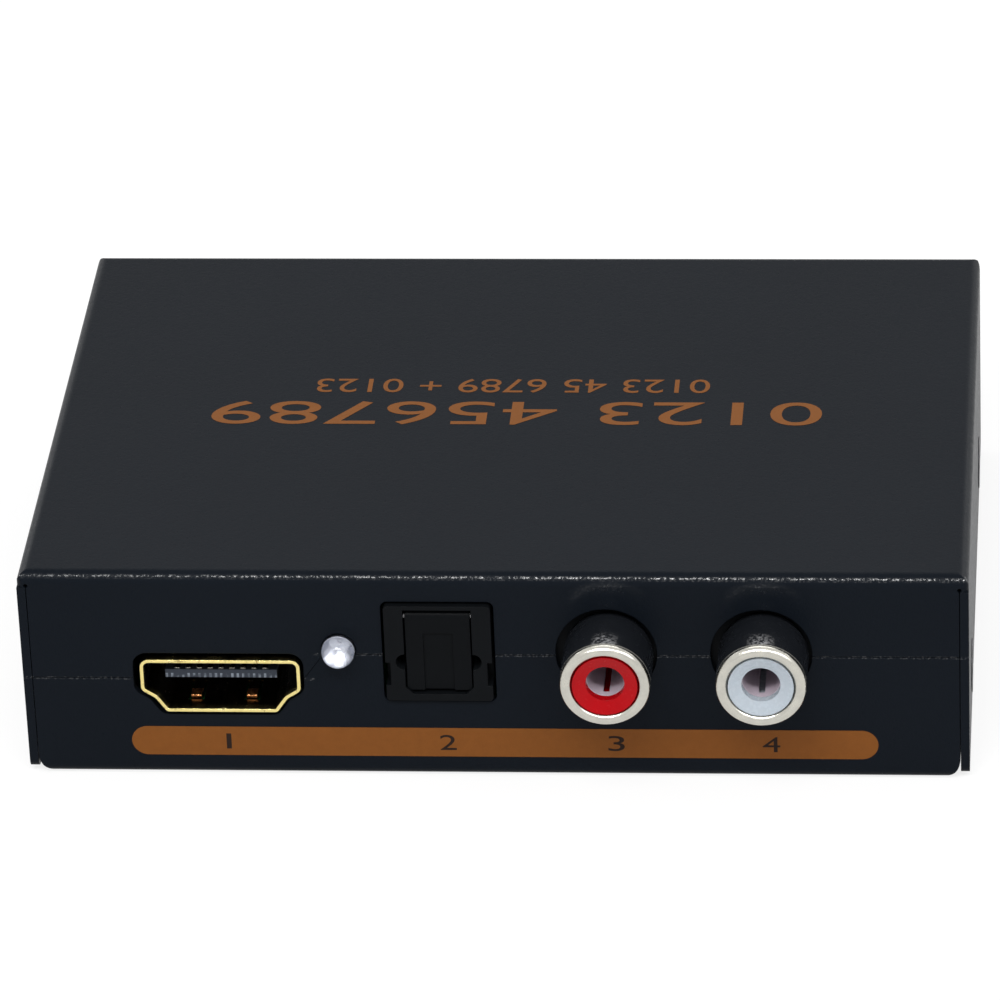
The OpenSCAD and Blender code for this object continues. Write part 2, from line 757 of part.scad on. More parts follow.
// Optical socket
module optical_housing() {
    pocket = emitter_w / 2 + play;
    color(socket_black) difference() {
        union() {
            translate([optical_x, 0, (nose_low + nose_top) / 2]) from_y(nose_y, optical_len)
                round_rect(optical_w, nose_h, nose_corner_r);
            block([optical_x - optical_w / 2, block_y, board_top],
                [optical_x + optical_w / 2, optical_back, nose_low + nose_h / 2]);
        }
        // Cavity for the plug, its two latch grooves and the seat of the hinge pin
        translate([optical_x, 0, 0]) from_y(nose_y - over, cavity_len + over) cavity_outline();
        for (side = [-1, 1]) translate([optical_x + side * cavity_w / 2, 0, latch_z])
            bar_y(nose_y - over, latch_len + over, latch_r);
        translate([optical_x, hinge_y, hinge_z]) rotate([0, 90, 0])
            cylinder(h = optical_w + over, r = hinge_pin_r + play / 2, center = true);
        // Slots at the outer edges of the nose
        for (side = [-1, 1]) translate([optical_x + side * (optical_w - side_slot_w + over) / 2,
            nose_y + (side_slot_len - over) / 2, latch_z - side_slot_share * side_slot_h])
            cube([side_slot_w + over, side_slot_len + over, side_slot_h], center = true);
        // Way to the emitter and the pocket that holds it
        translate([optical_x, 0, ferrule_z]) bar_y(nose_y, optical_len - emitter_len, ferrule_r);
        block([optical_x - pocket, optical_back - emitter_len, ferrule_z - emitter_h / 2 - play],
            [optical_x + pocket, optical_back + over, ferrule_z + emitter_h / 2 + play]);
        block([optical_x - pocket, optical_back - lead_t - 2 * play, board_top - over],
            [optical_x + pocket, optical_back + over, ferrule_z]);
    }
}
module cavity_outline() {
    half = cavity_w / 2;
    polygon([[cavity_chamfer - half, cavity_low], [half - cavity_chamfer, cavity_low],
        [half, cavity_low + cavity_chamfer], [half, cavity_top], [-half, cavity_top],
        [-half, cavity_low + cavity_chamfer]]);
}
// Outline of the shutter's side: a plate that hangs from a round hinge bar
module shutter_side() {
    difference() {
        union() {
            circle(hinge_r);
            translate([-hinge_r, -shutter_h + hinge_r]) square([shutter_t, shutter_h - hinge_r]);
        }
        circle(hinge_pin_r + hinge_play);
    }
}
module optical_shutter() {
    chamfer_side = shutter_chamfer * sqrt(2);
    color([0.13, 0.13, 0.14]) difference() {
        translate([optical_x, hinge_y, hinge_z]) along_x(shutter_w) shutter_side();
        for (side = [-1, 1]) translate([optical_x + side * shutter_w / 2, 0, shutter_low])
            rotate([0, 45, 0]) cube([chamfer_side, case_d, chamfer_side], center = true);
        // Shallow channel down the middle of the face
        block([optical_x - channel_w / 2, hinge_y - hinge_r - over, shutter_low - over],
            [optical_x + channel_w / 2, hinge_y - hinge_r + channel_depth, hinge_z - 2 * hinge_r]);
        // Room for the spring, open to the rear
        translate([optical_x, hinge_y, hinge_z]) {
            rotate([0, 90, 0]) cylinder(h = spring_len + 2 * spring_wire, r = spring_room_r, center = true);
            block([-spring_len / 2 - spring_wire, 0, -spring_room_r],
                [spring_len / 2 + spring_wire, hinge_r + over, hinge_r + over]);
        }
    }
}
module shutter_pin() {
    color(nickel) translate([optical_x, hinge_y, hinge_z]) rotate([0, 90, 0])
        cylinder(h = optical_w - 2 * play, r = hinge_pin_r, center = true);
}
// Points of the spring: the end of its arm, then a helix about the X axis
spring_steps = 16;
spring_sides = 6;
spring_count = spring_steps * spring_turns;
function spring_angle(k) = -360 * max(k, 0) / spring_steps;
function spring_centre(k) = [spring_len * (max(k, 0) / spring_count - 0.5), spring_r * cos(spring_angle(k)),
    k < 0 ? cavity_top - hinge_z - play : spring_r * sin(spring_angle(k))];
function spring_ring(k) = let (out = [0, cos(spring_angle(k)), sin(spring_angle(k))])
    [for (j = [0 : spring_sides - 1]) spring_centre(k) + spring_wire / 2
        * (cos(360 * j / spring_sides) * out - sin(360 * j / spring_sides) * [1, 0, 0])];
module shutter_spring() {
    rings = [for (k = [-1 : spring_count]) each spring_ring(k)];
    last = (spring_count + 1) * spring_sides;
    color(nickel) translate([optical_x, hinge_y, hinge_z]) polyhedron(points = rings, faces = concat(
        [for (k = [0 : spring_count], j = [0 : spring_sides - 1]) each
            let (a = k * spring_sides + j, b = k * spring_sides + (j + 1) % spring_sides)
            [[a, b, b + spring_sides], [a, b + spring_sides, a + spring_sides]]],
        [for (j = [1 : spring_sides - 2]) [0, j + 1, j]],
        [for (j = [1 : spring_sides - 2]) [last, last + j, last + j + 1]]));
}
module emitter_leads(grow) {
    for (i = [-1 : 1]) lead(optical_x + i * lead_pitch, optical_back - lead_t / 2 - play,
        ferrule_z - emitter_h / 2, lead_t, lead_t, grow);
}
module optical_emitter() {
    color([0.35, 0.1, 0.1]) {
        block([optical_x - emitter_w / 2, optical_back - emitter_len + play, ferrule_z - emitter_h / 2],
            [optical_x + emitter_w / 2, optical_back, ferrule_z + emitter_h / 2]);
        translate([optical_x, optical_back - emitter_len + play, ferrule_z]) sphere(lens_r);
        emitter_leads(0);
    }
}

// Audio sockets
block_x = phono_right + phono_pitch / 2;
block_w = phono_pitch + 2 * block_margin;
module phono_block() {
    color(socket_black) difference() {
        translate([block_x, 0, board_top + block_h / 2]) from_y(block_y, block_len)
            round_rect(block_w, block_h, block_r);
        for (x = phono_x) translate([x, 0, phono_z]) {
            bar_y(block_y - over, shell_seat + over, phono_d / 2 - seat_step + play);
            bar_y(block_y - over, block_len - phono_wall + over, insert_d / 2 + play);
        }
        phono_leads(play);
    }
}
// Profile of a metal shell, from its axis outwards and from its tip to its seat
module phono_shell(x) {
    color(nickel) translate([x, 0, phono_z]) rotate([90, 0, 0]) rotate_extrude() {
        translate([phono_d / 2 - phono_wall, -block_y - shell_seat + play])
            square([phono_wall - seat_step, -phono_tip - rim_r + block_y + shell_seat - play]);
        translate([phono_d / 2 - phono_wall, block_gap - front_y])
            square([phono_wall, front_y - block_gap - phono_tip - rim_r]);
        translate([phono_d / 2 - rim_r, -phono_tip - rim_r]) circle(rim_r);
    }
}
insert_front = phono_tip + insert_recess;
insert_back = block_y + block_len - phono_wall - play;
module phono_insert(x, shade) {
    tube_r = phono_d / 2 - phono_wall - play;
    neck_y = phono_tip + 2 * rim_r + play;
    sleeve_y = insert_front + sleeve_recess;
    color(shade) translate([x, 0, phono_z]) rotate([90, 0, 0]) rotate_extrude()
        polygon([[insert_bore_d / 2, -insert_front - funnel_depth], [insert_d / 2 - play, -insert_front],
            [insert_d / 2 - play, -neck_y], [tube_r, -neck_y], [tube_r, -block_y - shell_seat + play],
            [insert_d / 2, -block_y - shell_seat + play], [insert_d / 2, -insert_back],
            [insert_bore_d / 2 + sleeve_t + sleeve_room, -insert_back],
            [insert_bore_d / 2 + sleeve_t + sleeve_room, -sleeve_y - sleeve_seat],
            [insert_bore_d / 2 + sleeve_t, -sleeve_y - sleeve_seat], [insert_bore_d / 2 + sleeve_t, -sleeve_y],
            [insert_bore_d / 2, -sleeve_y]]);
}
module phono_leads(grow) {
    top = phono_z - (insert_bore_d + sleeve_t) / 2;
    for (x = phono_x) lead(x, insert_back - lead_t, top, 2 * lead_t, lead_t, grow);
}
module phono_contact(x) {
    color(nickel) difference() {
        union() {
            translate([x, 0, phono_z]) bar_y(insert_front + sleeve_recess + play,
                insert_back - insert_front - sleeve_recess - play, insert_bore_d / 2 + sleeve_t - play);
            intersection() {
                phono_leads(0);
                block([x - phono_pitch / 2, -case_d, -case_h], [x + phono_pitch / 2, case_d, case_h]);
            }
        }
        translate([x, 0, phono_z]) {
            bar_y(insert_front, insert_back - insert_front - 2 * sleeve_t, insert_bore_d / 2 - play);
            block([-sleeve_slot / 2, insert_front + sleeve_recess + sleeve_seat, -phono_d / 2],
                [sleeve_slot / 2, (insert_front + insert_back) / 2, 0]);
        }
    }
}
module slotted_insert(x, shade) {
    difference() {
        phono_insert(x, shade);
        phono_leads(play);
    }
}
module left_phono_shell() { phono_shell(phono_x[0]); }
module right_phono_shell() { phono_shell(phono_x[1]); }
module left_phono_insert() { slotted_insert(phono_x[0], [0.8, 0.08, 0.1]); }
module right_phono_insert() { slotted_insert(phono_x[1], [0.92, 0.92, 0.9]); }
module left_phono_contact() { phono_contact(phono_x[0]); }
module right_phono_contact() { phono_contact(phono_x[1]); }

// Power socket
power_front = rear_y - sheet_t - power_gap;
power_back = power_front - power_len;
strip_low = power_z - (power_bore_d + lead_t) / 2;
module pin_lead(grow) { lead(power_x, power_back + lead_t, power_z, 2 * lead_t, lead_t, grow); }
module strip_lead(grow) { lead(power_x, power_back + power_len / 2, strip_low, 2 * lead_t, lead_t, grow); }
module power_leads(grow) {
    pin_lead(grow);
    strip_lead(grow);
}
module power_socket_body() {
    color(socket_black) difference() {
        union() {
            block([power_x - power_w / 2, power_front - power_len / 3, board_top],
                [power_x + power_w / 2, power_front, board_top + power_h]);
            block([power_x - power_w / 2, power_back, board_top],
                [power_x + power_w / 2, power_front, board_top + power_step_h]);
            translate([power_x, 0, power_z]) bar_y(power_back, power_len, power_w / 2 - barrel_step);
            translate([power_x, 0, power_z]) bar_y(power_front, power_gap + sheet_t, collar_d / 2);
        }
        translate([power_x, 0, power_z]) {
            bar_y(rear_y - power_bore_len, power_bore_len + over, power_bore_d / 2);
            bar_y(power_back - over, power_len, power_pin_d / 2 + play);
        }
        power_leads(play);
        spring_strip(play);
    }
}
module power_socket_pin() {
    color(nickel) {
        translate([power_x, 0, power_z])
            bar_y(power_back, power_front + sheet_t - power_pin_recess - power_back, power_pin_d / 2);
        pin_lead(0);
    }
}
// Strip that lies under the bore and bears on the plug's sleeve
module spring_strip(grow) {
    block([power_x - lead_t - grow, power_back + (power_len - lead_t) / 2 - grow, strip_low - grow],
        [power_x + lead_t + grow, power_front - 2 * lead_t + grow, strip_low + lead_t + grow]);
}
module power_socket_spring() {
    color(nickel) {
        spring_strip(0);
        strip_lead(0);
    }
}

// Mode switch
switch_front = rear_y - sheet_t - switch_gap;
switch_rear = switch_front - switch_len;
base_front = switch_rear + switch_base_len;
module switch_legs(grow) {
    for (side = [-1, 1]) lead(switch_x + side * (switch_w - frame_t) / 2, switch_rear + switch_len / 2,
        board_top + frame_t, frame_t, 3 * frame_t, grow);
}
module switch_frame() {
    frame_opening = [knob_w + 2 * (switch_step + knob_slot_play), knob_h + 2 * slider_play];
    color(nickel) {
        difference() {
            block([switch_x - switch_w / 2, switch_rear, board_top],
                [switch_x + switch_w / 2, switch_front, board_top + switch_h]);
            block([switch_x - switch_w / 2 + frame_t, switch_rear - over, board_top + frame_t],
                [switch_x + switch_w / 2 - frame_t, switch_front - frame_t, board_top + switch_h - frame_t]);
            translate([switch_x, 0, switch_z]) from_y(switch_front - over, 2 * over)
                square(frame_opening, center = true);
        }
        switch_legs(0);
    }
}
terminal_x = [for (i = [0 : terminal_count - 1]) switch_x + (i - (terminal_count - 1) / 2) * terminal_pitch];
module switch_pins(grow) {
    for (x = terminal_x) lead(x, switch_rear - terminal_back, switch_z + terminal_w / 2,
        terminal_w, terminal_w, grow);
}
module switch_terminals() {
    color(nickel) {
        switch_pins(0);
        for (x = terminal_x) block([x - terminal_w / 2, switch_rear - terminal_back, switch_z - terminal_w / 2],
            [x + terminal_w / 2, switch_rear, switch_z + terminal_w / 2]);
    }
}
module switch_base() {
    color([0.45, 0.3, 0.18]) block(
        [switch_x - switch_w / 2 + frame_t + play, switch_rear, board_top + frame_t + play],
        [switch_x + switch_w / 2 - frame_t - play, base_front, board_top + switch_h - frame_t - play]);
}
module switch_slider() {
    carriage_h = switch_h - 2 * frame_t - 2 * slider_play;
    knob_tip = rear_y + knob_proud;
    rib_pitch = knob_w / (rib_count + 1);
    color(socket_black) difference() {
        union() {
            block([switch_x - carriage_w / 2, base_front + slider_play, switch_z - carriage_h / 2],
                [switch_x + carriage_w / 2, base_front + slider_play + carriage_len, switch_z + carriage_h / 2]);
            block([switch_x - knob_w / 2, base_front + slider_play, switch_z - knob_h / 2],
                [switch_x + knob_w / 2, knob_tip, switch_z + knob_h / 2]);
        }
        for (i = [1 : rib_count]) translate([switch_x - knob_w / 2 + i * rib_pitch, knob_tip, switch_z])
            cube([rib_pitch / 2, rib_pitch / 2, knob_h + over], center = true);
    }
}

// Parts on the board
function on_board(share) = [share[0] * board_w, share[1] * board_d, board_top];
// A row of bent leads that run out along Y from the edge of a package
module lead_row(count, edge, height) {
    for (i = [0 : count - 1]) translate([(i - (count - 1) / 2) * chip_lead_pitch, edge, 0])
        along_x(chip_lead_w) polygon([[0, height / 2 - chip_lead_t / 2], [0, height / 2 + chip_lead_t / 2],
            [chip_lead_out / 2, height / 2 + chip_lead_t / 2], [chip_lead_out / 2, chip_lead_t],
            [chip_lead_out, chip_lead_t], [chip_lead_out, 0], [chip_lead_out / 2 - chip_lead_t, 0],
            [chip_lead_out / 2 - chip_lead_t, height / 2 - chip_lead_t / 2]]);
}
module chip_package(w, d, h, stand) {
    translate([0, 0, stand]) linear_extrude(h - stand) square([w, d], center = true);
}
module processor_chip() {
    color([0.1, 0.1, 0.11]) translate(on_board(processor_share)) {
        chip_package(processor_w, processor_w, processor_h, chip_lead_t / 2);
        for (a = [0 : 90 : 270]) rotate(a) lead_row(processor_leads, processor_w / 2, processor_h);
    }
}
module side_leaded_chip(share, w, d, h, leads) {
    color([0.1, 0.1, 0.11]) translate(on_board(share)) {
        chip_package(w, d, h, chip_lead_t / 2);
        for (a = [90, 270]) rotate(a) lead_row(leads, w / 2, h);
    }
}
module audio_chip() { side_leaded_chip(audio_share, audio_w, audio_len, audio_h, audio_leads); }
module memory_chip() { side_leaded_chip(memory_share, memory_w, memory_len, audio_h, memory_leads); }
module clock_crystal() {
    color(nickel) translate(on_board(crystal_share)) {
        linear_extrude(crystal_base_h) stadium(crystal_w, crystal_d);
        linear_extrude(crystal_h) stadium(crystal_w - 2 * crystal_base_h, crystal_d - 2 * crystal_base_h);
    }
}
module stadium(w, d) {
    square([w - d, d], center = true);
    for (side = [-1, 1]) translate([side * (w - d) / 2, 0]) circle(d = d);
}
module filter_capacitors() {
    cut = can_cut_share * can_base_w;
    half = can_base_w / 2;
    color([0.7, 0.71, 0.74]) for (share = capacitor_shares) translate(on_board(share)) {
        linear_extrude(can_base_h) polygon([[-half, -half], [half, -half], [half, half - cut],
            [half - cut, half], [cut - half, half], [-half, half - cut]]);
        cylinder(h = can_h, d = can_d);
    }
}
module power_inductor() {
    half = inductor_w / 2;
    corner = half - inductor_cut;
    color([0.2, 0.2, 0.21]) translate(on_board(inductor_share)) linear_extrude(inductor_h)
        polygon([[-half, -corner], [-corner, -half], [corner, -half], [half, -corner],
            [half, corner], [corner, half], [-corner, half], [-half, corner]]);
}
module voltage_regulator() {
    color([0.1, 0.1, 0.11]) translate(on_board(regulator_share)) {
        chip_package(regulator_w, regulator_d, regulator_h, 0);
        linear_extrude(chip_lead_t) translate([-regulator_tab_w / 2, 0])
            square([regulator_tab_w, regulator_d / 2 + 2 * chip_lead_out]);
        for (i = [-1 : 1]) translate([i * lead_pitch - chip_lead_w, -regulator_d / 2 - 2 * chip_lead_out, 0])
            cube([2 * chip_lead_w, 2 * chip_lead_out, chip_lead_t]);
    }
}
module chip_parts() {
    color([0.55, 0.42, 0.28]) for (share = chip_shares) translate(on_board(share)) {
        chip_package(chip_w, chip_d, chip_h, 0);
        for (side = [-1, 1]) translate([side * (chip_w - chip_cap) / 2, 0, (chip_h + play) / 2])
            cube([chip_cap + play, chip_d + play, chip_h + play], center = true);
    }
}

top_cover();
bottom_tray();
side_screws();
board_standoffs();
board_screws();
main_board();
video_out_shell();
video_out_tongue();
video_out_contacts();
video_in_shell();
video_in_tongue();
video_in_contacts();
status_light();
status_light_leads();
optical_housing();
optical_shutter();
shutter_pin();
shutter_spring();
optical_emitter();
phono_block();
left_phono_shell();
right_phono_shell();
left_phono_insert();
right_phono_insert();
left_phono_contact();
right_phono_contact();
power_socket_body();
power_socket_pin();
power_socket_spring();
switch_frame();
switch_base();
switch_slider();
switch_terminals();
processor_chip();
audio_chip();
memory_chip();
clock_crystal();
filter_capacitors();
power_inductor();
voltage_regulator();
chip_parts();
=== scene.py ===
"""Looks of the audio extractor box: materials, printed marks, camera, floor and lamps.

Places are in the part's own frame: X runs along the front, Y to the rear, Z up, and the origin is
at the middle of the base. Numbers are in millimetres unless said, and MM turns them into metres.
"""

import json
import math

import bpy
from mathutils import Matrix, Vector


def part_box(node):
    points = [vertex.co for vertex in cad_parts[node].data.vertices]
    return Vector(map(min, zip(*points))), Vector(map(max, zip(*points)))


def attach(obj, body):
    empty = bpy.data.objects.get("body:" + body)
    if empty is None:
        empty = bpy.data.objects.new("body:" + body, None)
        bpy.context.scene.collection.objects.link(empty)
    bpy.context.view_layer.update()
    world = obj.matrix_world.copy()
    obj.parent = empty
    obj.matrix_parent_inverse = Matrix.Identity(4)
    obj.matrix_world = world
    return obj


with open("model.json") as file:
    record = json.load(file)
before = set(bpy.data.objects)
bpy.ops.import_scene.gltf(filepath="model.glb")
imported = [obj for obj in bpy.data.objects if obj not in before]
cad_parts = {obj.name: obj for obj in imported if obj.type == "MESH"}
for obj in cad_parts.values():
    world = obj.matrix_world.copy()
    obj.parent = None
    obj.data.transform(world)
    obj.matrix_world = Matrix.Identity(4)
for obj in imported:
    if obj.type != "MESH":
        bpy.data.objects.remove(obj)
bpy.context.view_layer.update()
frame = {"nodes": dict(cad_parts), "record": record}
nodes = frame["nodes"]
MM = 0.001


# Places on the part that the looks and the marks follow

# Outer faces of the front plate and the cover, and the plane that all front faces lie forward of
FRONT_Y = -31.0
TOP_Z = 21.2
FRONT_ZONE_Y = -30.0
# Glint along the cover's front bend: height, half width, and where along X it fades in
BEND_Z, BEND_HALF = 20.79, 0.17
BEND_FADE_X = (-45.0, 0.0)
# Glint along the front seam: height of its low part, its step up, where it steps, and half width
SEAM_LOW_Z, SEAM_STEP, SEAM_STEP_X = 10.25, 2.64, -16.3
SEAM_HALF = 0.14
# Video sockets: distance of the front lip from the middle, and the depth over which painted shade
# darkens the gold
LIP_Y, LIP_SHADE_DEPTH = 31.2, 0.8
# Springs of the output socket: the socket's middle, their distance from it, half width, heights
# and the plane that they lie forward of
VIDEO_X = -24.9
SPRING_X, SPRING_HALF = 2.55, 0.55
SPRING_LOW_Z, SPRING_HIGH_Z = 7.31, 8.0
SPRING_ZONE_Y = -28.0
# Contact tips on the output socket's tongue: the tongue's front edge, the row's top, tips per mm
TONGUE_Y = -30.4
TIPS_TOP_Z = 10.6
TIPS_PER_MM = 2
# Sound sockets: middle of the pair, half their distance, their height, rear edge of their rings
SOUND_MID_X, SOUND_HALF = 17.5, 7.0
SOUND_Z = 13.19
RING_BACK_Y, RING_BLEND = -36.2, 0.12
# Bright metal grains painted on top of a barrel as a highlight: side distance where they end and
# are full, the same along Y, and the height above the socket's middle where they start
CROWN_SIDE = (1.3, 0.2)
CROWN_Y = (-34.2, -35.6)
CROWN_RISE = 3.0
# Rubbed paint above a sound socket: radius and half width of a band, and its ends to the side
RUBBED_BANDS = ((6.7, 0.9, (3.6, 0.8)), (5.1, 0.9, (1.5, 0.2)))

# Materials

# Where most of a noise lies
NOISE_SPAN = (0.3, 0.7)


class Shade:
    """A Principled material with short calls for its nodes."""

    def __init__(self, name, base, rough, metallic=0.0, specular=0.5):
        self.mat = bpy.data.materials.new(name)
        self.mat.use_nodes = True
        self.tree = self.mat.node_tree
        self.bsdf = self.tree.nodes["Principled BSDF"]
        self.set("Base Color", (*base, 1.0))
        self.set("Roughness", rough)
        self.set("Metallic", metallic)
        self.set("Specular IOR Level", specular)
        self.mat.diffuse_color = (*base, 1.0)
        self.coord = self.node("ShaderNodeTexCoord").outputs["Object"]
        self.normal = None

    def set(self, socket, value):
        self.bsdf.inputs[socket].default_value = value

    def node(self, kind, **values):
        made = self.tree.nodes.new(kind)
        for key, value in values.items():
            setattr(made, key, value)
        return made

    def link(self, output, target):
        self.tree.links.new(output, target)

    def feed(self, socket, output):
        self.link(output, self.bsdf.inputs[socket])

    def stretched(self, scale):
        """Object coordinates in millimetres, stretched by scale."""
        mapping = self.node("ShaderNodeMapping")
        mapping.inputs["Scale"].default_value = [s / MM for s in scale]
        self.link(self.coord, mapping.inputs["Vector"])
        return mapping.outputs["Vector"]

    def noise(self, scale, detail=2.0, roughness=0.5, stretch=(1, 1, 1)):
        """Noise whose scale is in cells per millimetre."""
        tex = self.node("ShaderNodeTexNoise")
        tex.inputs["Scale"].default_value = scale
        tex.inputs["Detail"].default_value = detail
        tex.inputs["Roughness"].default_value = roughness
        self.link(self.stretched(stretch), tex.inputs["Vector"])
        return tex.outputs["Fac"]

    def ramp(self, value, low, high, out_low=0.0, out_high=1.0):
        """From out_low where the value is low to out_high where it is high, and level beyond."""
        span = self.node("ShaderNodeMapRange")
        limits = {"From Min": low, "From Max": high, "To Min": out_low, "To Max": out_high}
        for key, number in limits.items():
            span.inputs[key].default_value = number
        self.link(value, span.inputs["Value"])
        return span.outputs["Result"]

    def math(self, kind, a, b=None, c=None):
        """One step of arithmetic. Each input is a number or an output."""
        op = self.node("ShaderNodeMath", operation=kind)
        for slot, value in enumerate((a, b, c)):
            if value is None:
                continue
            if isinstance(value, (int, float)):
                op.inputs[slot].default_value = value
            else:
                self.link(value, op.inputs[slot])
        return op.outputs[0]

    def product(self, first, *others):
        for other in others:
            first = self.math("MULTIPLY", first, other)
        return first

    def off(self, value, centre):
        """Distance of a value from a centre."""
        return self.math("ABSOLUTE", self.math("SUBTRACT", value, centre))

    def off_pair(self, value, middle, half):
        """Distance of a value from the nearer of two places that lie half from the middle."""
        return self.off(self.off(value, middle), half)

    def within(self, value, centre, half):
        """1 where a value is less than half from a centre, and 0 elsewhere."""
        return self.math("LESS_THAN", self.off(value, centre), half)

    def axes(self):
        """X, Y and Z in millimetres."""
        split = self.node("ShaderNodeSeparateXYZ")
        self.link(self.stretched((1, 1, 1)), split.inputs["Vector"])
        return split.outputs

    def blend(self, factor, a, b):
        """A colour between a and b. Each is a colour or an output."""
        mix = self.node("ShaderNodeMix", data_type="RGBA")
        self.link(factor, mix.inputs["Factor"])
        for slot, value in ((6, a), (7, b)):
            if isinstance(value, (tuple, list)):
                mix.inputs[slot].default_value = (*value, 1.0)
            else:
                self.link(value, mix.inputs[slot])
        return mix.outputs[2]

    def tint(self, a, b, factor):
        self.feed("Base Color", self.blend(factor, a, b))

    def shift_tint(self, base, darker, lighter, factor):
        """The base colour, from darker times to lighter times as bright."""
        self.tint([c * darker for c in base], [min(1.0, c * lighter) for c in base], factor)

    def rough(self, noise, low, high):
        """Roughness from low to high along a noise."""
        self.feed("Roughness", self.ramp(noise, *NOISE_SPAN, low, high))

    def bump(self, height, strength, distance_mm):
        """One more layer of bump on top of those before it."""
        made = self.node("ShaderNodeBump")
        made.inputs["Strength"].default_value = strength
        made.inputs["Distance"].default_value = distance_mm * MM
        self.link(height, made.inputs["Height"])
        if self.normal is not None:
            self.link(self.normal, made.inputs["Normal"])
        self.normal = made.outputs["Normal"]
        self.feed("Normal", self.normal)

    def soft_edges(self, radius_mm):
        """Rounds the look of sharp edges."""
        made = self.node("ShaderNodeBevel", samples=4)
        made.inputs["Radius"].default_value = radius_mm * MM
        self.normal = made.outputs["Normal"]
        self.feed("Normal", self.normal)


def painted_steel():
    """Grained black paint, with glossier grains along the front's bend and seam and in two bands
    above each sound socket."""
    s = Shade("painted_steel", (0.0060, 0.0073, 0.0100), 0.34, specular=0.04)
    s.soft_edges(0.12)
    grain = s.noise(5.5, 2.0, 0.6)
    fine = s.noise(2.2, 3.0, 0.6)
    cloud = s.noise(0.05, 3.0)
    mottle = s.math("ADD", s.product(cloud, 0.6), s.product(grain, 0.4))
    s.tint((0.0034, 0.0048, 0.0073), (0.0050, 0.0070, 0.0103), mottle)

    x, y, z = s.axes()
    grit = s.ramp(s.noise(4.2, 2.0, 0.7), 0.49, 0.69)
    bend = s.product(s.within(z, BEND_Z, BEND_HALF), s.ramp(x, *BEND_FADE_X, 0.3, 0.9))
    stepped = s.math("GREATER_THAN", x, SEAM_STEP_X)
    seam = s.within(z, s.math("MULTIPLY_ADD", stepped, SEAM_STEP, SEAM_LOW_Z), SEAM_HALF)
    lines = s.product(s.math("MAXIMUM", bend, seam), grit)

    side = s.off_pair(x, SOUND_MID_X, SOUND_HALF)
    up = s.math("SUBTRACT", z, SOUND_Z)
    reach = s.math("SQRT", s.math("ADD", s.math("POWER", side, 2.0), s.math("POWER", up, 2.0)))
    bands = [s.product(s.ramp(s.off(reach, radius), half, 0.0), s.ramp(side, *ends))
             for radius, half, ends in RUBBED_BANDS]
    above = s.math("GREATER_THAN", up, 0.0)
    rubbed = s.product(s.math("ADD", *bands), above, s.math("MULTIPLY_ADD", grit, 0.75, 0.25))

    on_front = s.math("LESS_THAN", y, FRONT_ZONE_Y)
    s.feed("Coat Weight", s.product(s.math("MAXIMUM", lines, rubbed), on_front))
    s.set("Coat Roughness", 0.13)
    s.set("Coat IOR", 1.65)
    s.rough(fine, 0.27, 0.41)
    s.bump(grain, 0.35, 0.05)
    s.bump(fine, 0.2, 0.08)
    return s.mat


def screw_steel(name="screw_steel", base=(0.33, 0.33, 0.34)):
    s = Shade(name, base, 0.32, metallic=1.0)
    s.soft_edges(0.1)
    smear = s.noise(1.6, 3.0, 0.6)
    s.shift_tint(base, 0.75, 1.3, smear)
    s.rough(smear, 0.25, 0.45)
    s.bump(s.noise(7.0, 2.0), 0.15, 0.03)
    return s.mat


def gold_plate():
    """Bright gold at the lip of a video socket, darkened by painted shade in its depth, and copper at
    the springs.
    """
    s = Shade("gold_plate", (0.95, 0.72, 0.34), 0.2, metallic=1.0)
    s.soft_edges(0.08)
    smear = s.noise(0.9, 3.0, 0.6)
    stains = s.ramp(s.noise(1.8, 3.0, 0.7), 0.56, 0.66, 0.0, 0.7)
    lip = s.blend(smear, (0.70, 0.56, 0.18), (0.96, 0.84, 0.40))
    lip = s.blend(stains, lip, (0.30, 0.19, 0.06))

    x, y, z = s.axes()
    # Painted shade: the gold turns dark brown deeper inside the socket
    depth = s.ramp(s.math("ABSOLUTE", y), LIP_Y, LIP_Y - LIP_SHADE_DEPTH)
    base = s.blend(depth, lip, (0.05, 0.032, 0.014))
    spring = s.product(
        s.math("LESS_THAN", s.off_pair(x, VIDEO_X, SPRING_X), SPRING_HALF),
        s.math("GREATER_THAN", z, SPRING_LOW_Z),
        s.math("LESS_THAN", z, SPRING_HIGH_Z),
        s.math("LESS_THAN", y, SPRING_ZONE_Y))
    s.tint(base, (0.95, 0.42, 0.16), spring)
    s.rough(smear, 0.14, 0.3)
    s.bump(s.noise(4.0, 2.0, 0.5, (1, 0.15, 1)), 0.12, 0.03)
    return s.mat


def ring_nickel():
    """Metal shell of a sound socket: bright at its rolled ring, painted black along its barrel for the
    dark reflection of the front plate, with bright bare-metal grains on top of the barrel next to the
    ring as a painted highlight."""
    s = Shade("ring_nickel", (0.8, 0.78, 0.72), 0.2)
    s.soft_edges(0.06)
    smear = s.noise(0.8, 3.0, 0.6)
    x, y, z = s.axes()
    ring = s.ramp(y, RING_BACK_Y + RING_BLEND, RING_BACK_Y - RING_BLEND)
    bright = s.blend(smear, (0.44, 0.43, 0.40), (0.66, 0.64, 0.56))
    # Painted highlight: bright bare-metal grains on top of the barrel next to the ring
    painted_highlight_grains = s.product(
        s.ramp(s.off_pair(x, SOUND_MID_X, SOUND_HALF), *CROWN_SIDE),
        s.ramp(y, *CROWN_Y),
        s.ramp(s.noise(3.2, 2.0, 0.7), 0.45, 0.66),
        s.math("GREATER_THAN", z, SOUND_Z + CROWN_RISE))
    # Painted reflection: black along the barrel, where its metal would mirror the dark front plate
    barrel = s.blend(painted_highlight_grains, (0.007, 0.008, 0.010), (0.45, 0.45, 0.46))
    s.tint(barrel, bright, ring)
    s.feed("Metallic", s.math("MAXIMUM", ring, painted_highlight_grains))
    s.set("Specular IOR Level", 0.2)
    s.rough(smear, 0.16, 0.3)
    s.bump(s.noise(5.0, 2.0), 0.3, 0.03)
    return s.mat


